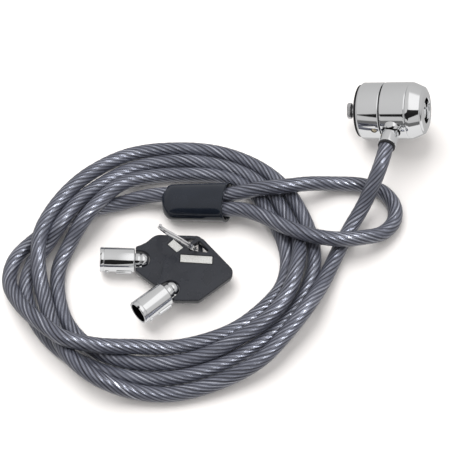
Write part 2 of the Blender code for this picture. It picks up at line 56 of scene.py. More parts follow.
LAYOUT = Matrix.Translation(SHIFT * MM)
HEAD = LAYOUT @ frame_at((46.6, 49.05, 9.4), (0.926, -0.205, 0.317), (0.0, -1.0, 0.0))
HEAD_FACE = 25.8                           # the key face, from the head's slot end
PIVOT_ALONG, PIVOT_OUT = 14.1, 9.4         # the ferrule's pivot, along the head and out from its axis
PIVOT_LIFT, PIVOT_LEAN = 11.0, 3.0         # degrees
FERRULE_REACH = 7.6                        # from the pivot to the ferrule's mouth


def ferrule_frame():
    turn = HEAD.to_3x3()
    level, down, along = turn.col[0], turn.col[1], turn.col[2]
    lift, lean = math.radians(PIVOT_LIFT), math.radians(PIVOT_LEAN)
    out = math.cos(lift) * level - math.sin(lift) * down
    aim = math.cos(lean) * out - math.sin(lean) * along
    middle = HEAD.translation / MM + along * PIVOT_ALONG + out * PIVOT_OUT
    return frame_at(middle, aim, along)


FERRULE = ferrule_frame()
AIM = FERRULE.to_3x3().col[2]
MOUTH = FERRULE.translation / MM + AIM * FERRULE_REACH


def key_frame(origin, heading, pitch):
    heading, pitch = math.radians(heading), math.radians(pitch)
    level = math.cos(pitch)
    along = Vector((math.cos(heading) * level, math.sin(heading) * level, math.sin(pitch)))
    left = Vector((-math.sin(heading), math.cos(heading), 0.0))
    return LAYOUT @ frame_at(origin, along.cross(left), along)


KEYS = {1: key_frame((-36.5, -11.8, 4.42), 181.0, 5.5), 2: key_frame((-25.0, -26.2, 7.15), 221.0, 5.0)}
LENGTHWISE = frame_at((0, 0, 0), (1, 0, 0), (0, 1, 0))


# ---------------------------------------------------------------- camera

CAMERA_RISE = 62.0         # degrees above the table
CAMERA_AWAY = 483.0        # millimetres


def make_camera():
    data = bpy.data.cameras.new("camera")
    data.lens, data.sensor_width = 100.0, 36.0
    data.clip_start, data.clip_end = 0.01, 10.0
    camera = bpy.data.objects.new("camera", data)
    bpy.context.scene.collection.objects.link(camera)
    tilt = math.radians(CAMERA_RISE)
    eye = Vector((0.0, -math.cos(tilt), math.sin(tilt))) * CAMERA_AWAY
    camera.location = (eye + SHIFT) * MM
    camera.rotation_euler = (math.radians(90.0) - tilt, 0.0, 0.0)
    bpy.context.scene.camera = camera


make_camera()


# ---------------------------------------------------------------- material nodes

class Shader:
    """A Principled material with short calls for adding the nodes that feed it."""

    def __init__(self, name, colour, metallic, roughness, **more):
        self.material = bpy.data.materials.new(name)
        self.material.use_nodes = True
        self.tree = self.material.node_tree
        self.main = self.tree.nodes["Principled BSDF"]
        self.set("Base Color", (*colour, 1.0))
        self.set("Metallic", metallic)
        self.set("Roughness", roughness)
        for socket, value in more.items():
            self.set(socket.replace("_", " "), value)
        self.height = None

    def set(self, socket, value):
        self.main.inputs[socket].default_value = value

    def add(self, kind, *links, **values):
        """A node with its sockets given by name or number, each a value or another node's output."""
        made = self.tree.nodes.new("ShaderNode" + kind)
        for name, value in values.items():
            if hasattr(made, name):
                setattr(made, name, value)
            else:
                self.feed(made.inputs[name.replace("_", " ")], value)
        for index, value in enumerate(links):
            if value is not None:
                self.feed(made.inputs[index], value)
        return made

    def feed(self, socket, value):
        if isinstance(value, bpy.types.NodeSocket):
            self.tree.links.new(value, socket)
        else:
            socket.default_value = value

    def place(self, scale=(1.0, 1.0, 1.0)):
        where = self.add("TexCoord")
        return self.add("Mapping", where.outputs["Object"], Scale=scale).outputs[0]

    def noise(self, scale, detail=3.0, stretch=(1.0, 1.0, 1.0)):
        return self.add("TexNoise", self.place(stretch), Scale=scale, Detail=detail).outputs[0]

    def span(self, value, low, high, from_low=0.0, from_high=1.0):
        return self.add("MapRange", value, from_low, from_high, low, high).outputs[0]

    def ramp(self, value, *stops):
        made = self.add("ValToRGB", value)
        ramp = made.color_ramp
        while len(ramp.elements) < len(stops):
            ramp.elements.new(0.5)
        for element, (at, colour) in zip(ramp.elements, stops):
            element.position = at
            element.color = (*colour, 1.0)
        return made.outputs[0]

    def math(self, operation, a, b=0.0):
        return self.add("Math", a, b, operation=operation).outputs[0]

    def colour(self, value):
        self.feed(self.main.inputs["Base Color"], value)

    def rough(self, value):
        self.feed(self.main.inputs["Roughness"], value)

    def bump(self, value, distance, strength=1.0):
        """Stacks a bump, its distance in metres, on those already there."""
        made = self.add("Bump", Strength=strength, Distance=distance, Height=value)
        if self.height is not None:
            self.feed(made.inputs["Normal"], self.height)
        self.height = made.outputs[0]
        self.feed(self.main.inputs["Normal"], self.height)


PLATING = (0.83, 0.84, 0.85)


def chrome(name, tint=PLATING, low=0.035, high=0.09):
    s = Shader(name, tint, 1.0, low)
    s.colour(s.ramp(s.noise(90.0, 4.0), (0.3, tuple(c * 0.97 for c in tint)), (0.7, tint)))
    s.rough(s.span(s.noise(260.0, 5.0), low, high, 0.35, 0.7))
    s.bump(s.noise(1400.0, 2.0), 0.000003, 0.25)
    return s.material


def bored_chrome(name):
    """Bright plating outside and a dull bore, the bore's near-black colour a painted shade."""
    s = Shader(name, PLATING, 1.0, 0.05)
    split = s.add("SeparateXYZ", s.place())
    squares = s.math("ADD", s.math("POWER", split.outputs[0], 2.0), s.math("POWER", split.outputs[1], 2.0))
    outside = s.span(s.math("SQRT", squares), 0.0, 1.0, 0.0035, 0.0037)
    # Painted shade: inside the bore the plating colour is swapped for a near-black one.
    s.colour(s.ramp(outside, (0.1, (0.012, 0.012, 0.014)), (0.9, PLATING)))
    s.rough(s.math("ADD", s.span(outside, 0.5, 0.03), s.span(s.noise(260.0, 5.0), 0.0, 0.06, 0.35, 0.7)))
    s.bump(s.noise(1400.0, 2.0), 0.000003, 0.25)
    return s.material


def brushed(name, tint, low=0.22, high=0.38):
    s = Shader(name, tint, 1.0, low)
    streak = s.noise(3200.0, 4.0, (1.0, 1.0, 0.05))
    s.colour(s.ramp(streak, (0.3, tuple(c * 0.9 for c in tint)), (0.7, tint)))
    s.rough(s.span(streak, low, high, 0.3, 0.7))
    s.bump(streak, 0.000004, 0.3)
    return s.material


def moulded(name, tint, low=0.22, high=0.34, grain=5200.0, depth=0.000012):
    """Moulded plastic: a fine grain, and tint and shine that vary slowly."""
    s = Shader(name, tint, 0.0, low, Specular_IOR_Level=0.5)
    slow = s.noise(180.0, 4.0)
    s.colour(s.ramp(slow, (0.25, tuple(c * 0.85 for c in tint)), (0.75, tuple(c * 1.15 for c in tint))))
    s.rough(s.span(slow, low, high, 0.3, 0.7))
    s.bump(s.noise(grain, 2.0), depth, 0.5)
    return s.material


def rubber(name):
    s = Shader(name, (0.012, 0.012, 0.013), 0.0, 0.5)
    s.rough(s.span(s.noise(700.0, 4.0), 0.42, 0.62, 0.3, 0.7))
    s.colour(s.ramp(s.noise(300.0), (0.3, (0.008, 0.008, 0.009)), (0.7, (0.018, 0.018, 0.02))))
    s.bump(s.noise(3000.0), 0.00002, 0.5)
    return s.material


def foil(name):
    """Pale stamped foil with a fine speckle."""
    s = Shader(name, (0.7, 0.7, 0.68), 0.35, 0.4)
    speck = s.noise(3600.0, 5.0)
    s.colour(s.ramp(speck, (0.34, (0.4, 0.41, 0.4)), (0.62, (0.7, 0.7, 0.68))))
    s.rough(s.span(speck, 0.3, 0.5, 0.3, 0.7))
    s.bump(speck, 0.00003, 0.6)
    return s.material


def cable_jacket(name):
    """Steel strands seen through a smoky jacket. The mesh's UV has u over the strands and v along them. The
    colour paints light into stripes across the strands, from a near-black painted shade to a bright painted
    highlight.
    """
    s = Shader(name, (0.2, 0.2, 0.22), 0.45, 0.3, Coat_Weight=0.6, Coat_Roughness=0.42, Coat_IOR=1.5)
    where = s.add("UVMap")
    split = s.add("SeparateXYZ", where.outputs[0])
    u, v = split.outputs[0], split.outputs[1]
    strand = s.math("PINGPONG", s.math("MULTIPLY", u, STRANDS), 0.5)
    slant = s.math("ADD", s.math("MULTIPLY", u, STRANDS * 4.0), s.math("MULTIPLY", v, 9.0))
    wire = s.math("PINGPONG", slant, 0.5)
    spread = s.add("CombineXYZ", s.math("MULTIPLY", u, STRANDS), s.math("MULTIPLY", v, 0.6)).outputs[0]
    drift = s.add("TexNoise", spread, Scale=1.3, Detail=3.0).outputs[0]
    lit = s.math("ADD", strand, s.math("MULTIPLY", wire, 0.22))
    lit = s.math("ADD", lit, s.math("MULTIPLY", s.math("SUBTRACT", drift, 0.5), 0.55))
    # Painted light: the darkest stop is a painted shade, the flank stop a weaker painted shade and the
    # brightest stop a painted highlight, in stripes across the strands.
    gap_painted_shade, flank_painted_shade = (0.01, 0.01, 0.016), (0.07, 0.074, 0.098)
    strand_top, crest_painted_highlight = (0.12, 0.127, 0.16), (0.5, 0.51, 0.56)
    s.colour(s.ramp(lit, (0.05, gap_painted_shade), (0.24, flank_painted_shade), (0.5, strand_top), (0.66, crest_painted_highlight)))
    s.rough(s.span(lit, 0.38, 0.24, 0.1, 0.6))
    s.bump(wire, 0.00006, 0.5)
    s.bump(s.noise(900.0), 0.00003, 0.25)
    return s.material


# ---------------------------------------------------------------- mesh helpers

SHARP = 32.0               # degrees between faces that keep a sharp edge


def shade_into(shape, mesh, angle):
    """Writes shape to mesh, smooth but for the edges sharper than angle."""
    limit = math.radians(angle)
    for face in shape.faces:
        face.smooth = True
    for edge in shape.edges:
        edge.smooth = len(edge.link_faces) == 2 and edge.calc_face_angle(0.0) < limit
    shape.to_mesh(mesh)
    shape.free()


def finish_mesh(shape, name, material, matrix, angle=SHARP):
    mesh = bpy.data.meshes.new(name)
    bmesh.ops.recalc_face_normals(shape, faces=shape.faces)
    shade_into(shape, mesh, angle)
    obj = bpy.data.objects.new(name, mesh)
    bpy.context.scene.collection.objects.link(obj)
    if material is not None:
        mesh.materials.append(material)
    obj.matrix_world = matrix
    return obj


def rounded(profile, radius, steps=3):
    """Rounds the corners of a closed (radius, height) profile; a corner may state its own radius third."""
    out = []
    count = len(profile)
    for i, here in enumerate(profile):
        size = here[2] if len(here) > 2 else radius
        point = Vector(here[:2])
        before, after = Vector(profile[i - 1][:2]) - point, Vector(profile[(i + 1) % count][:2]) - point
        if size <= 0.0 or point.x < 0.001 or before.length < 1e-6 or after.length < 1e-6:
            out.append(point)
            continue
        size = min(size, before.length * 0.45, after.length * 0.45)
        start, end = point + before.normalized() * size, point + after.normalized() * size
        for step in range(steps + 1):
            t = step / steps
            out.append(start.lerp(point, t).lerp(point.lerp(end, t), t))
    return out


def lathe(name, profile, material, matrix, closed=False, segments=160, soften=0.12, slices=0.0):
    """Turns a profile round z. An open one starts and ends on the axis."""
    points = rounded(profile, soften)
    if slices:
        points = sliced(points, slices, closed)
    shape = bmesh.new()
    rings = []
    turns = [2 * math.pi * i / segments for i in range(segments)]
    for point in points:
        r, h = point[0] * MM, point[1] * MM
        if r < 1e-7:
            rings.append([shape.verts.new((0.0, 0.0, h))])
            continue
        rings.append([shape.verts.new((r * math.cos(turn), r * math.sin(turn), h)) for turn in turns])
    pairs = list(zip(rings, rings[1:]))
    if closed:
        pairs.append((rings[-1], rings[0]))
    for near, far in pairs:
        if len(near) == 1 and len(far) == 1:
            continue
        for i in range(segments):
            j = (i + 1) % segments
            if len(near) == 1:
                shape.faces.new((near[0], far[j], far[i]))
            elif len(far) == 1:
                shape.faces.new((near[i], near[j], far[0]))
            else:
                shape.faces.new((near[i], near[j], far[j], far[i]))
    return finish_mesh(shape, name, material, matrix)


def sliced(points, size, closed):
    out = []
    last = len(points) if closed else len(points) - 1
    for i in range(last):
        a, b = Vector(points[i][:2]), Vector(points[(i + 1) % len(points)][:2])
        parts = max(1, round((b - a).length / size))
        out += [a.lerp(b, k / parts) for k in range(parts)]
    if not closed:
        out.append(Vector(points[-1][:2]))
    return out


def rounded_box(name, size, material, matrix, bevel=0.15, segments=3):
    shape = bmesh.new()
    bmesh.ops.create_cube(shape, size=1.0)
    bmesh.ops.scale(shape, vec=Vector(size) * MM, verts=shape.verts)
    edges = list(shape.edges)
    bmesh.ops.bevel(shape, geom=edges, offset=bevel * MM, segments=segments, profile=0.5, affect="EDGES")
    return finish_mesh(shape, name, material, matrix, 50.0)


def drill(radius, top, bottom, matrix, segments):
    """A plain round cutter, from bottom to top along z."""
    profile = [(0, top), (radius, top), (radius, bottom), (0, bottom)]
    return lathe("drill", profile, None, matrix, soften=0.0, segments=segments)


def subtract(obj, tools):
    """Cuts the tools out of obj for good and removes them."""
    for tool in tools:
        boolean = obj.modifiers.new("cut", "BOOLEAN")
        boolean.operation, boolean.solver, boolean.object = "DIFFERENCE", "EXACT", tool
    bake_modifiers(obj)
    for tool in tools:
        bpy.data.objects.remove(tool, do_unlink=True)


def bake_modifiers(obj):
    bpy.context.view_layer.update()
    seen = obj.evaluated_get(bpy.context.evaluated_depsgraph_get())
    mesh = bpy.data.meshes.new_from_object(seen)
    obj.modifiers.clear()
    obj.data = mesh
    shape = bmesh.new()
    shape.from_mesh(mesh)
    bmesh.ops.remove_doubles(shape, verts=shape.verts, dist=2e-7)
    bmesh.ops.dissolve_degenerate(shape, edges=shape.edges, dist=2e-7)
    shade_into(shape, mesh, SHARP)


def sweep(name, points, section, material):
    """Sweeps section, a list of (across, up) offsets in millimetres, along points."""
    shape = bmesh.new()
    rings = []
    for point, across, up in points:
        rings.append([shape.verts.new((point + across * a + up * b) * MM) for a, b in section])
    count = len(rings[0])
    for near, far in zip(rings, rings[1:]):
        for i in range(count):
            j = (i + 1) % count
            shape.faces.new((near[i], near[j], far[j], far[i]))
    shape.faces.new(list(reversed(rings[0])))
    shape.faces.new(rings[-1])
    return finish_mesh(shape, name, material, Matrix.Identity(4), 60.0)


def flat_piece(name, outlines, thick, edge, material, matrix):
    """A flat piece with rounded edges, from closed outlines: its edge first, then its holes."""
    curve = bpy.data.curves.new(name, "CURVE")
    curve.dimensions = "2D"
    curve.fill_mode = "BOTH"
    curve.extrude = (thick / 2 - edge) * MM
    curve.bevel_depth = edge * MM
    curve.offset = -edge * MM
    curve.bevel_resolution = 3
    for outline in outlines:
        spline = curve.splines.new("POLY")
        spline.points.add(len(outline) - 1)
        for point, (x, y) in zip(spline.points, outline):
            point.co = (x * MM, y * MM, 0.0, 1.0)
        spline.use_cyclic_u = True
    guide = bpy.data.objects.new(name + "_guide", curve)
    bpy.context.scene.collection.objects.link(guide)
    bpy.context.view_layer.update()
    mesh = bpy.data.meshes.new_from_object(guide.evaluated_get(bpy.context.evaluated_depsgraph_get()))
    bpy.data.objects.remove(guide, do_unlink=True)
    shape = bmesh.new()
    shape.from_mesh(mesh)
    bmesh.ops.remove_doubles(shape, verts=shape.verts, dist=5e-7)
    return finish_mesh(shape, name, material, matrix)


def arc(middle, radius, start, end, steps):
    return [
        (middle[0] + radius * math.cos(math.radians(start + (end - start) * i / steps)),
         middle[1] + radius * math.sin(math.radians(start + (end - start) * i / steps)))
        for i in range(steps + 1)
    ]


def smooth_line(points, spans):
    """A centripetal curve through points, with the given number of samples in each span."""
    ends = [points[0] * 2 - points[1], *points, points[-1] * 2 - points[-2]]
    line = []
    for a, b, c, d in zip(ends, ends[1:], ends[2:], ends[3:]):
        t1 = (b - a).length ** 0.5
        t2 = t1 + (c - b).length ** 0.5
        t3 = t2 + (d - c).length ** 0.5
        for step in range(spans):
            t = t1 + (t2 - t1) * step / spans
            ab = a.lerp(b, t / t1)
            bc = b.lerp(c, (t - t1) / (t2 - t1))
            cd = c.lerp(d, (t - t2) / (t3 - t2))
            line.append(ab.lerp(bc, t / t2).lerp(bc.lerp(cd, (t - t1) / (t3 - t1)), (t - t1) / (t2 - t1)))
    return [*line, points[-1]]


def at_steps(line, step):
    """Points at equal distances along a line."""
    marks = [0.0]
    for a, b in zip(line, line[1:]):
        marks.append(marks[-1] + (b - a).length)
    count = max(2, round(marks[-1] / step) + 1)
    even, at = [], 0
    for index in range(count):
        want = marks[-1] * index / (count - 1)
        while at < len(line) - 2 and marks[at + 1] < want:
            at += 1
        even.append(line[at].lerp(line[at + 1], (want - marks[at]) / (marks[at + 1] - marks[at])))
    return even


def carried_frames(line):
    """Each point with two directions across the line that turn as little as they can."""
    out = []
    across = None
    for i, point in enumerate(line):
        ahead = (line[min(i + 1, len(line) - 1)] - line[max(i - 1, 0)]).normalized()
        if across is None:
            across = ahead.cross(UP).normalized()
        across = (across - ahead * across.dot(ahead)).normalized()
        out.append((point, across, ahead.cross(across)))
    return out


# ---------------------------------------------------------------- cable

CABLE_R = 2.75             # millimetres
STRANDS = 12               # ridges that show round the cable
STRAND_LAY = 37.0          # one turn of a strand along the cable
RIDGE = 0.2                # depth of the gaps between the strands
AROUND = 60                # points round the cable
CABLE_SEAT = 4.8           # how far the cable goes into the ferrule
CABLE_STEP = 0.9           # between the mesh's rings along the cable

LONG_RUN = (
    (52.2, 21.2, 15.2), (49.4, 15.2, 11.2), (46.2, 9.5, 6.5), (40.5, 0.5, 2.8),
    (35, -11, 2.75), (30.5, -21, 4.5), (25, -31, 7.3), (17.5, -41, 6.8), (8, -51, 5.7),
    (-6, -58.3, 3.8),
    (-22, -62.5, 2.9), (-36, -62, 4.5), (-48, -58.5, 8.3), (-58, -50, 8.5), (-64, -39, 7.5),
    (-67.8, -28, 5.5), (-70.3, -19, 6.3), (-71, -11, 8.8), (-70.5, -3, 9.2), (-67.3, 5.6, 8.8),
    (-61.8, 14.3, 8.6), (-53.4, 24.2, 6.2), (-40, 33.5, 3), (-22, 36, 2.75), (-6, 34.2, 2.75),
    (7.9, 28, 2.75), (17.7, 19.1, 2.75), (24, 7.6, 2.75), (27.4, -4, 2.75), (27.5, -14, 2.75),
    (23, -26.5, 2.75), (15.5, -37, 2.75), (4, -46.3, 2.75), (-8, -52.8, 2.75),
    (-22, -56.7, 2.75), (-37, -56.5, 2.75), (-51, -52.3, 2.75), (-64, -43.8, 2.75),
    (-72.5, -32, 2.75), (-75.3, -22, 2.75), (-73.7, -13, 3), (-69, -6, 4.3), (-64.2, 0.4, 7.9),
    (-58.7, 9.6, 7.7), (-50.9, 19, 4.6), (-39, 27.3, 2.75), (-24, 30.6, 2.75), (-8.7, 28.9, 3.3),
    (4.3, 23.7, 3.5), (13.6, 15.3, 2.9), (18.7, 5.8, 3.3), (22.3, -4, 4.7), (21.5, -15, 7.5),
    (17.5, -27, 7.3), (10.5, -36, 6.8), (0, -43, 5.6), (-9.5, -47.8, 4),
    (-22, -51, 2.8), (-37, -50.8, 2.75), (-50, -46, 2.75), (-59.5, -36.5, 2.75),
    (-63.7, -25, 2.75), (-64, -14, 2.75), (-60.8, -5.5, 4), (-56.5, 1.4, 7.5), (-51.3, 9, 8.3),
    (-42.7, 18.7, 6.3), (-31.2, 23.9, 3.2), (-18, 24.9, 2.75), (-4, 23.7, 2.75), (5.7, 17.5, 2.75),
    (11.9, 7.8, 2.75), (16.6, -2.2, 2.75), (18.2, -12.2, 2.75), (15.9, -21.9, 2.75), (9, -30.5, 2.75),
    (0, -37.8, 2.75), (-10, -42.3, 2.75),
    (-22, -45.2, 3), (-36, -46, 5.5), (-48, -46.8, 8.6), (-59, -46.2, 13.4), (-67.5, -40, 12.4),
    (-76, -30.5, 7.6), (-81.2, -20.2, 3.4), (-80.2, -11.2, 2.75), (-74.3, -3.6, 2.75), (-65, 4, 2.75),
    (-54, 9.5, 2.75), (-43, 12.6, 2.75), (-35, 14.3, 4.2), (-28.5, 14.75, 5.35),
)
LOOP = (
    (-5, 14.75, 5.4), (2, 15, 6.8), (9, 15.6, 8.6), (17, 16.5, 8.6),
    (26, 18.5, 7), (35.5, 20.5, 3.7), (46, 20.5, 2.75), (54, 17.5, 2.75), (58, 11.5, 2.75),
    (57.5, 5, 2.75), (53, -0.5, 4), (46.5, -3.5, 6.5), (38, -5.5, 8.7), (28, -4.7, 9.5),
    (17.5, -1, 9.6), (9, 4.4, 8.2), (2, 7.8, 6.5), (-5, 8.65, 5.4),
)
CABLE_END = (-18.5, 8.67, 5.35)


def cable_line():
    start = [MOUTH - AIM * CABLE_SEAT, MOUTH + AIM]
    route = [Vector(p) + SHIFT for p in (*LONG_RUN, *LOOP, CABLE_END)]
    floor = CABLE_R + SHIFT.z
    line = [Vector((p.x, p.y, max(p.z, floor))) for p in smooth_line([*start, *route], 24)]
    return at_steps(line, CABLE_STEP)


def make_cable(material):
    line = cable_line()
    step = (line[1] - line[0]).length
    shape = bmesh.new()
    uv = shape.loops.layers.uv.new("UVMap")
    rings = []
    for index, (point, across, up) in enumerate(carried_frames(line)):
        twist = 2 * math.pi * index * step / STRAND_LAY
        ring = []
        for k in range(AROUND):
            angle = 2 * math.pi * k / AROUND
            lobe = abs(math.cos(STRANDS * angle / 2)) ** 0.8
            r = CABLE_R - RIDGE * (1.0 - lobe)
            turn = angle + twist
            ring.append(shape.verts.new((point + (across * math.cos(turn) + up * math.sin(turn)) * r) * MM))
        rings.append(ring)
    for index, (near, far) in enumerate(zip(rings, rings[1:])):
        for i in range(AROUND):
            j = (i + 1) % AROUND
            face = shape.faces.new((near[i], near[j], far[j], far[i]))
            ends = ((i, 0), (i + 1, 0), (i + 1, 1), (i, 1))
            for loop, (u, v) in zip(face.loops, ends):
                loop[uv].uv = (u / AROUND, (index + v) * step / STRAND_LAY)
    shape.faces.new(list(reversed(rings[0])))
    shape.faces.new(rings[-1])
    obj = finish_mesh(shape, "cable", material, Matrix.Identity(4), 80.0)
    return obj, line


# ---------------------------------------------------------------- sleeve cover and crimp

COVER_MIDDLE = (11.7, 5.35)                # y and z
COVER_START, COVER_END = -27.4, -3.3       # x of the closed end and of the mouth
COVER_AROUND = 72                          # points round the cover
LEG_APART = 3.03                           # from the middle to each cable leg in the cover
MOUTH_SLANT = 0.38                         # how far the mouth leans back as it rises


def oval_ring(half_width, half_height, along):
    y, z = COVER_MIDDLE
    turns = [2 * math.pi * i / COVER_AROUND for i in range(COVER_AROUND)]
    return [Vector((along, y + half_width * math.cos(a), z + half_height * math.sin(a))) for a in turns]


def cover_half(along):
    """Half width and half height of the sleeve cover at a place along it."""
    t = (along - COVER_START) / 26.2
    return 6.95 + 0.75 * t, 4.8 + 0.5 * t


def make_cover(material):
    """A flattened sleeve with a domed closed end and a slanting, flared mouth that both legs come out of."""
    start, end = COVER_START, COVER_END
    outer = [(start, 4.6), (start + 0.12, 3.9), (start + 0.4, 3.0), (start + 0.85, 2.05), (start + 1.5, 1.1)]
    outer += [(start + 2.2, 0.5), (start + 3.1, 0.12), (start + 4.2, 0.0)]
    outer += [(start + 4.2 + k * (end - 2.4 - start - 4.2) / 9, 0.0) for k in range(1, 10)]
    outer += [(end - 1.6, -0.06), (end - 0.9, -0.2), (end - 0.4, -0.3), (end - 0.1, -0.2)]
    inner = [(end, 0.1), (end - 0.1, 0.5), (end - 0.5, 0.8), (end - 1.5, 0.95), (end - 5.0, 1.0)]
    inner += [(-19.0, 0.85), (start + 4.0, 1.2)]
    rings = []
    for along, inset in (*outer, *inner):
        w, h = cover_half(along)
        roomier = 0.15 if 0.8 < inset < 1.1 and along > -20.0 else 0.0
        flatter = 0.5 if inset > 1.1 else 1.0
        ring = oval_ring(w - inset, h - inset * flatter + roomier, along)
        slant = min(1.0, max(0.0, (along + 12.0) / (end + 12.0))) ** 2
        for point in ring:
            above = 0.883 * (point.z - COVER_MIDDLE[1]) - 0.469 * (point.y - COVER_MIDDLE[0])
            point.x -= MOUTH_SLANT * slant * above
        rings.append(ring)
    shape = bmesh.new()
    made = [[shape.verts.new((p + SHIFT) * MM) for p in ring] for ring in rings]
    for near, far in zip(made, made[1:]):
        for i in range(COVER_AROUND):
            j = (i + 1) % COVER_AROUND
            shape.faces.new((near[i], near[j], far[j], far[i]))
    shape.faces.new(list(reversed(made[0])))
    shape.faces.new(made[-1])
    obj = finish_mesh(shape, "cover", material, Matrix.Identity(4), 50.0)
    leg = LAYOUT @ frame_at((start, COVER_MIDDLE[0] + LEG_APART, COVER_MIDDLE[1]), (1, 0, 0), (0, 0, 1))
    subtract(obj, [drill(3.0, 7, -1, leg, 64)])
    return obj


def make_crimp(material):
    outline = arc((3.05, 0), 3.3, -90, 90, 16) + arc((-3.05, 0), 3.3, 90, 270, 16)
    place = LAYOUT @ frame_at((-13.5, *COVER_MIDDLE), (1, 0, 0), (0, 1, 0))
    obj = flat_piece("crimp", [outline], 11.0, 0.4, material, place)
    sides = [place @ Matrix.Translation((side * LEG_APART * MM, 0, 0)) for side in (1, -1)]
    subtract(obj, [drill(2.92, 7, -7, at, 48) for at in sides])
    return obj


# ---------------------------------------------------------------- lock head

def turned(name, profile, material, soften, slices=0.0):
    """One of the head's large hollow rings."""
    return lathe(name, profile, material, HEAD, closed=True, segments=192, soften=soften, slices=slices)


def make_head(m):
    made = {}
    shell = [
        (10.38, 9.6, 0.03), (10.6, 9.3, 0.03), (10.6, 1.75), (9.95, 0.98), (9.6, 0.98), (9.6, 3.4, 0),
        (7.7, 3.4, 0), (7.7, 9.6, 0),
    ]
    made["rear_barrel"] = turned("rear_shell", shell, m["chrome"], 0.14)
    collar = [
        (10.3, 19.7, 0.05), (10.6, 19.25, 0.05), (10.6, 10.3), (10.45, 10.1), (7.7, 10.1, 0), (7.7, 19.7, 0),
    ]
    made["swivel_collar"] = turned("collar", collar, m["chrome"], 0.1, 0.5)
    subtract(made["swivel_collar"], [ferrule_socket()])
    made["boss"] = make_boss(m)
    nose = [
        (4.95, HEAD_FACE, 0.2), (6.4, HEAD_FACE - 0.03, 0), (7.6, HEAD_FACE - 0.25, 0.5),
        (8.25, HEAD_FACE - 0.75, 0.4), (8.75, 24.9, 0.3), (10.5, 20.95, 0.35), (10.6, 20.1, 0.1),
        (10.6, 19.9, 0.05), (10.5, 19.8, 0.03), (7.7, 19.8, 0), (7.7, 23.2, 0), (4.7, 23.2, 0),
        (4.7, HEAD_FACE - 0.25, 0.1),
    ]
    made["nose_barrel"] = turned("nose", nose, m["chrome"], 0.12)
    washer = [(9.3, 0.0), (9.75, 0.18), (9.75, 0.62), (9.5, 0.7), (2.0, 0.7), (2.0, 0.0)]
    made["rubber_washer"] = lathe("washer", washer, m["rubber"], HEAD, closed=True, soften=0.1)
    at = HEAD @ frame_at((0, 0, 7.6), (1.0, -0.25, 0.0), (0, 0, 1))
    subtract(made["rear_barrel"], [drill(1.08, 12, 6.8, at, 48)])
    pin = [(0, 10.42), (0.55, 10.4), (0.95, 10.15), (1.0, 9.9), (1.0, 7.7), (0, 7.7)]
    made["retaining_pin"] = lathe("pin", pin, m["brass"], at, segments=48, soften=0.0)
    return made


def ferrule_socket():
    """The cutter that leaves room for the ferrule to lean."""
    return drill(3.5, 9, -5, FERRULE, 96)


def make_boss(m):
    """The smooth swelling on the collar over the root of the ferrule."""
    radius = 3.2
    angles = (-1.3, -1.0, -0.7, -0.4, -0.1, 0.2, 0.5, 0.8, 1.1, 1.35)
    dome = [(radius * math.cos(a), radius * math.sin(a), 0) for a in angles]
    dome = [(0, -radius, 0), *dome, (0, radius, 0)]
    lift = Vector((0.0, 0.469, 0.883))
    lift = (lift - AIM * lift.dot(AIM)).normalized()
    at = Matrix.Translation((lift * 1.5 - AIM * 0.2) * MM) @ FERRULE
    boss = lathe("boss", dome, m["chrome"], at, segments=96, soften=0.0)
    subtract(boss, [ferrule_socket()])
    return boss


def stadium(length, width, steps=14):
    half, radius = length / 2 - width / 2, width / 2
    return arc((half, 0), radius, -90, 90, steps) + arc((-half, 0), radius, 90, 270, steps)


KEY_PINS = 7
PIN_CIRCLE = 4.05          # the radius that the pins stand on


def make_core(m):
    post = [
        (0, 24.75), (1.2, 24.8), (1.35, 24.85), (2.5, 24.9), (2.95, 24.75), (3.1, 24.45), (3.1, 18.6, 0),
        (5.3, 18.6, 0.1), (5.3, 15.8, 0), (2.0, 15.8, 0), (2.0, 14.2, 0), (0, 14.2),
    ]
    core = lathe("core", post, m["chrome"], HEAD, segments=96, soften=0.08)
    tools = []
    pins = {}
    for index in range(KEY_PINS):
        angle = 2 * math.pi * (index + 0.25) / KEY_PINS
        at = HEAD @ Matrix.Translation(Vector((math.cos(angle), math.sin(angle), 0)) * PIN_CIRCLE * MM)
        tools.append(drill(0.84, 19.4, 15, at, 32))
        tip = [(0, 20.0), (0.3, 19.97), (0.5, 19.85), (0.62, 19.6), (0.62, 15.9), (0, 15.9)]
        pins[index + 1] = lathe(f"pin_{index + 1}_tip", tip, m["brass"], at, segments=32, soften=0.0)
    slot = rounded_box("slot", (0.9, 3.6, 2.0), None, HEAD @ Matrix.Translation((0, 0, 25.2 * MM)), 0.1, 1)
    subtract(core, [*tools, slot])
    neck = [(0, 4.3), (2.0, 4.3, 0.1), (2.0, 3.6, 0.1), (1.2, 3.6, 0), (1.2, -2.9, 0), (0, -2.9)]
    stem = lathe("bar_neck", neck, m["steel"], HEAD, segments=64, soften=0.05)
    turn = HEAD @ Matrix.Rotation(math.radians(35.0), 4, "Z") @ Matrix.Translation((0, 0, -4.0 * MM))
    lug = flat_piece("bar_lug", [stadium(6.0, 2.8)], 2.1, 0.8, m["steel"], turn)
    return core, pins, stem, lug


def make_ferrule(m):
    body = [
        (0, 2.75), (3.05, 2.75, 0), (3.05, 7.6, 0.1), (3.2, 7.6, 0.05), (3.3, 7.35, 0.1), (3.3, 3.1, 0.4),
        (3.06, 2.2, 0.4), (3.0, 0.5, 0.4), (2.6, -0.7, 0.4), (1.9, -1.4, 0.3), (0, -1.4),
    ]
    ferrule = lathe("ferrule", body, m["chrome"], FERRULE, segments=128, soften=0.1)
    pin_way = FERRULE @ Matrix.Rotation(math.radians(-90), 4, "X")
    subtract(ferrule, [drill(0.8, 5, -5, pin_way, 32)])
    seal = [(3.2, 8.55, 0.15), (3.2, 7.9, 0.1), (2.95, 7.9, 0), (2.95, 8.7, 0.1)]
    return ferrule, lathe("seal", seal, m["rubber"], FERRULE, closed=True, segments=96, soften=0.1)


# ---------------------------------------------------------------- keys

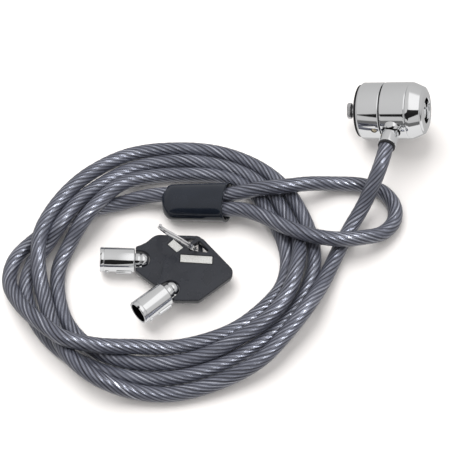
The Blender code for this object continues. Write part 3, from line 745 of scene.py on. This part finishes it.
def bow_outline():
    half, end, length, corner, tight = 10.1, 5.15, 24.2, 3.4, 2.4
    outline = arc((-1.0, end - 1.0), 1.0, 0, 60, 6)
    outline += [(-6.1, 9.55), (-6.6, 9.9), (-7.3, half)]
    outline += arc((-length + corner, half - corner), corner, 90, 180, 14)
    outline += arc((-length + tight, -half + tight), tight, 180, 270, 14)
    outline += [(-8.6, -half), (-7.6, -9.95), (-6.7, -9.55), (-5.9, -9.0), (-5.0, -8.1), (-4.2, -7.3)]
    outline += [(-3.4, -6.7), (-2.6, -6.2), (-1.8, -5.75), (-0.9, -5.35), (-0.3, -5.15), (0.0, -4.8)]
    return outline + [(0.0, -3.4), *arc((-2.0, 0.0), 3.2, 270, 90, 24), (0.0, 3.4)]


def ring_hole():
    """The three-cornered ring hole, its corners rounded."""
    x, y, long, tall, r = -22.6, -8.6, 6.3, 6.4, 0.7
    hole = arc((x + r, y + r), r, 270, 180, 8)
    hole += arc((x + r, y + tall - r * 2.41), r, 180, 45, 10)
    hole += arc((x + long - r * 2.41, y + r), r, 45, -90, 10)
    return hole


TUBE_RADIUS, TUBE_LENGTH = 4.4, 12.7
RIB_TURN = -16.0           # degrees round the tube, to the nib and the rib
PLATE_SEAT = (-16.7, -3.3, 1.15)
PLATE_TURN = -43.0


def make_key(number, m):
    key = KEYS[number]
    lengthwise = key @ LENGTHWISE
    name = f"key_{number}"
    tube = [
        (3.5, 12.6), (3.62, 12.7), (4.25, 12.7), (4.4, 12.5), (4.4, 11.45, 0.05), (4.3, 11.38, 0.03),
        (4.3, 11.22, 0.03), (4.4, 11.15, 0.05), (4.4, 0.62, 0.2), (4.12, 0.3, 0.1), (2.5, 0.3, 0),
        (2.5, 3.7, 0), (3.5, 3.7, 0),
    ]
    barrel = lathe(f"{name}_barrel", tube, m["tube"], lengthwise, closed=True, segments=128, soften=0.08)
    notch_at = lengthwise @ Matrix.Translation((0, TUBE_RADIUS * MM, TUBE_LENGTH * MM))
    subtract(barrel, [rounded_box("notch", (1.0, 1.8, 1.0), None, notch_at, 0.15, 2)])
    side = lengthwise @ Matrix.Rotation(math.radians(RIB_TURN), 4, "Z")
    nib_at = side @ Matrix.Translation((4.45 * MM, 0, 10.2 * MM))
    nib = rounded_box(f"{name}_nib", (0.9, 1.3, 1.5), m["chrome"], nib_at, 0.3, 4)
    rib_at = side @ Matrix.Translation((4.5 * MM, 0, 4.0 * MM))
    rib = rounded_box(f"{name}_rib", (1.1, 1.7, 5.6), m["chrome"], rib_at, 0.3, 4)
    stem = [
        (0, 3.4), (2.2, 3.4, 0), (2.2, 0.15, 0), (2.75, 0.1, 0.1), (2.75, -1.5, 0.12), (2.45, -1.75, 0.1),
        (2.45, -2.0, 0.1), (2.75, -2.25, 0.15), (2.72, -3.1, 0.4), (2.3, -4.1, 0.4), (1.3, -4.7, 0.4),
        (0, -4.85),
    ]
    plug = lathe(f"{name}_plug", stem, m["chrome"], lengthwise, segments=96, soften=0.1)
    bow = flat_piece(f"{name}_grip", [bow_outline(), ring_hole()], 2.6, 0.38, m["plastic"], key)
    seat = key @ Matrix.Translation(Vector(PLATE_SEAT) * MM)
    seat = seat @ Matrix.Rotation(math.radians(PLATE_TURN), 4, "Z")
    recess = rounded_box("recess", (12.0, 3.6, 1.1), None, seat, 0.05, 1)
    subtract(bow, [recess])
    label = rounded_box(f"{name}_label", (11.4, 3.0, 0.5), m["foil"], seat, 0.12, 3)
    return barrel, nib, rib, plug, bow, label


def make_ring(m):
    """A wire wound nearly twice round, through both bows."""
    flat = Vector((-0.839, 0.543, 0.039)).normalized()
    steep = Vector((-0.148, -0.295, 0.944)).normalized()
    across = flat.cross(steep)
    turns, pitch, radius = 1.9, 0.86, 7.86
    steps = 220
    middle = Vector((-21.46, -4.87, 8.06)) + SHIFT
    points = []
    for i in range(steps + 1):
        turn = turns * i / steps
        angle = 2 * math.pi * turn + math.radians(70)
        out = flat * math.cos(angle) + steep * math.sin(angle)
        point = middle + out * radius + across * pitch * (turn - turns / 2)
        points.append((point, out, across))
    section = [(0.4 * math.cos(math.pi * k / 12), 0.42 * math.sin(math.pi * k / 12)) for k in range(24)]
    return sweep("split_ring", points, section, m["steel_bright"])


# ---------------------------------------------------------------- stage

def make_floor():
    s = Shader("floor", (0.9, 0.895, 0.89), 0.0, 0.55)
    s.colour(s.ramp(s.noise(6.0), (0.3, (0.91, 0.885, 0.868)), (0.7, (0.93, 0.905, 0.888))))
    s.rough(s.span(s.noise(40.0), 0.5, 0.62, 0.3, 0.7))
    mesh = bpy.data.meshes.new("floor")
    half = 4.0
    corners = [(-half, -half, 0), (half, -half, 0), (half, half, 0), (-half, half, 0)]
    mesh.from_pydata(corners, [], [(0, 1, 2, 3)])
    mesh.materials.append(s.material)
    floor = bpy.data.objects.new("floor", mesh)
    bpy.context.scene.collection.objects.link(floor)
    floor.visible_glossy = False


def area_light(name, location, size, power, colour):
    """A round lamp aimed at the middle of the table and not mirrored in the metal."""
    data = bpy.data.lights.new(name, "AREA")
    data.shape, data.size, data.energy, data.color = "DISK", size, power, colour
    light = bpy.data.objects.new(name, data)
    bpy.context.scene.collection.objects.link(light)
    light.location = location
    light.rotation_euler = (Vector((0, 0, 0)) - Vector(location)).to_track_quat("-Z", "Y").to_euler()
    light.visible_camera = False
    light.visible_glossy = False
    return light


def sheen_light(cable):
    """A small lamp that only the cable takes, for the bright run along its strands."""
    light = area_light("sheen", (0.41, 0.0, 0.8), 0.3, 5.2, (0.95, 0.97, 1.0))
    light.visible_glossy = True
    only = bpy.data.collections.new("cable_only")
    only.objects.link(cable)
    light.light_linking.receiver_collection = only


def make_world():
    """A pale studio: in front a glow from the floor, a dark strip low down and a dark flag above it.

    The flag is widest in the middle and climbs to the right. High on the right is a bright patch.
    """
    world = bpy.data.worlds.new("studio")
    bpy.context.scene.world = world
    world.use_nodes = True
    tree = world.node_tree
    back = tree.nodes["Background"]

    def math_node(operation, a, b=0.0):
        made = tree.nodes.new("ShaderNodeMath")
        made.operation = operation
        for socket, value in zip(made.inputs, (a, b)):
            if isinstance(value, bpy.types.NodeSocket):
                tree.links.new(value, socket)
            else:
                socket.default_value = value
        return made.outputs[0]

    def smooth(value, low, high):
        made = tree.nodes.new("ShaderNodeMapRange")
        made.interpolation_type = "SMOOTHSTEP"
        tree.links.new(value, made.inputs[0])
        made.inputs[1].default_value, made.inputs[2].default_value = low, high
        return made.outputs[0]

    where = tree.nodes.new("ShaderNodeTexCoord")
    split = tree.nodes.new("ShaderNodeSeparateXYZ")
    tree.links.new(where.outputs["Generated"], split.inputs[0])
    x, y, z = split.outputs
    rise = math_node("DIVIDE", math_node("ARCSINE", z), math.radians(90.0))
    front = smooth(math_node("MULTIPLY", y, -1.0), -0.05, 0.05)
    above = smooth(rise, -0.12, -0.08)
    below = math_node("SUBTRACT", 1.0, above)
    low_strip = math_node("MULTIPLY", above, math_node("SUBTRACT", 1.0, smooth(rise, 0.06, 0.09)))
    wider = math_node("ADD", 0.26, math_node("MULTIPLY", x, 0.35))
    half = math_node("MINIMUM", wider, math_node("SUBTRACT", 0.26, math_node("MULTIPLY", x, 0.5)))
    middle = math_node("ADD", 0.43, math_node("MULTIPLY", x, 0.23))
    away = math_node("ABSOLUTE", math_node("SUBTRACT", rise, middle))
    flag = smooth(math_node("SUBTRACT", half, away), -0.01, 0.015)
    dark = math_node("MAXIMUM", math_node("MULTIPLY", low_strip, 0.72), math_node("MULTIPLY", flag, 0.975))
    dark = math_node("MULTIPLY", dark, front)
    floor_glow = math_node("MULTIPLY", math_node("MULTIPLY", below, front), 0.34)
    bright = math_node("MULTIPLY", smooth(x, 0.05, 0.2), smooth(rise, 0.45, 0.6))
    sky = math_node("ADD", math_node("ADD", 0.58, floor_glow), math_node("MULTIPLY", rise, 0.12))
    sky = math_node("ADD", sky, math_node("MULTIPLY", bright, 0.42))
    level = math_node("MULTIPLY", math_node("SUBTRACT", 1.0, dark), sky)
    colour = tree.nodes.new("ShaderNodeCombineColor")
    for socket, tint in zip(colour.inputs, (1.0, 0.99, 0.985)):
        tree.links.new(math_node("MULTIPLY", level, tint), socket)
    tree.links.new(colour.outputs[0], back.inputs[0])
    back.inputs[1].default_value = 1.0


# ---------------------------------------------------------------- everything in its place

def ride_all(body, *pieces):
    for piece in pieces:
        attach(piece, body)


def main():
    m = {
        "chrome": chrome("chrome_plating"),
        "tube": bored_chrome("tube_plating"),
        "steel": brushed("turned_steel", (0.62, 0.62, 0.63)),
        "steel_bright": chrome("ring_steel", (0.86, 0.86, 0.87), 0.1, 0.18),
        "brass": brushed("turned_brass", (0.76, 0.67, 0.5), 0.25, 0.42),
        "aluminium": brushed("pressed_aluminium", (0.70, 0.70, 0.71), 0.3, 0.45),
        "rubber": rubber("black_rubber"),
        "plastic": moulded("grip_plastic", (0.015, 0.017, 0.023)),
        "cover": moulded("cover_plastic", (0.009, 0.012, 0.019), 0.1, 0.17, 2600.0, 0.000006),
        "foil": foil("label_foil"),
        "cable": cable_jacket("smoky_cable"),
    }
    cable, line = make_cable(m["cable"])
    cover, crimp = make_cover(m["cover"]), make_crimp(m["aluminium"])
    ride_all("cable", cable, cover, crimp)
    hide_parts("security_cable")
    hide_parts("sleeve_cover")
    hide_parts("crimp_sleeve")

    head = make_head(m)
    boss = head.pop("boss")
    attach(boss, "collar")
    for node, piece in head.items():
        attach(piece, "collar" if node == "swivel_collar" else "barrel")
        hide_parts(node)
    core, pins, neck, lug = make_core(m)
    ride_all("core", core, neck, lug)
    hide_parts("lock_core")
    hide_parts("t_bar")
    for number, pin in pins.items():
        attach(pin, f"pin_{number}")
        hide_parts(f"key_pin_{number}")
    ferrule, seal = make_ferrule(m)
    ride_all("cable", ferrule, seal)
    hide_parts("cable_ferrule")
    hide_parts("ferrule_seal")

    for number in KEYS:
        barrel, nib, rib, plug, bow, label = make_key(number, m)
        ride_all(f"key_{number}", barrel, nib, rib, plug, bow, label)
        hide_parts(f"key_{number}_tube")
        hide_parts(f"key_{number}_stem")
        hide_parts(f"key_{number}_bow")
        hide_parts(f"key_{number}_plate")
    ring = make_ring(m)
    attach(ring, "ring")
    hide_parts("key_ring")

    kept = {"rear_plate": "steel", "inner_sleeve": "steel", "lock_cylinder": "brass", "lock_spindle": "steel",
            "retaining_clip": "steel", "ferrule_pin": "steel"}
    for node, material in kept.items():
        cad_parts[node].data.materials.clear()
        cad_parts[node].data.materials.append(m[material])

    make_floor()
    make_world()
    area_light("key", (-0.34, 0.4, 0.85), 1.0, 11.2, (1.0, 0.995, 0.99))
    area_light("fill", (0.1, -0.6, 0.8), 0.8, 1.2, (1.0, 0.99, 0.98))
    sheen_light(cable)
    bpy.context.scene.view_settings.view_transform = "Standard"


main()
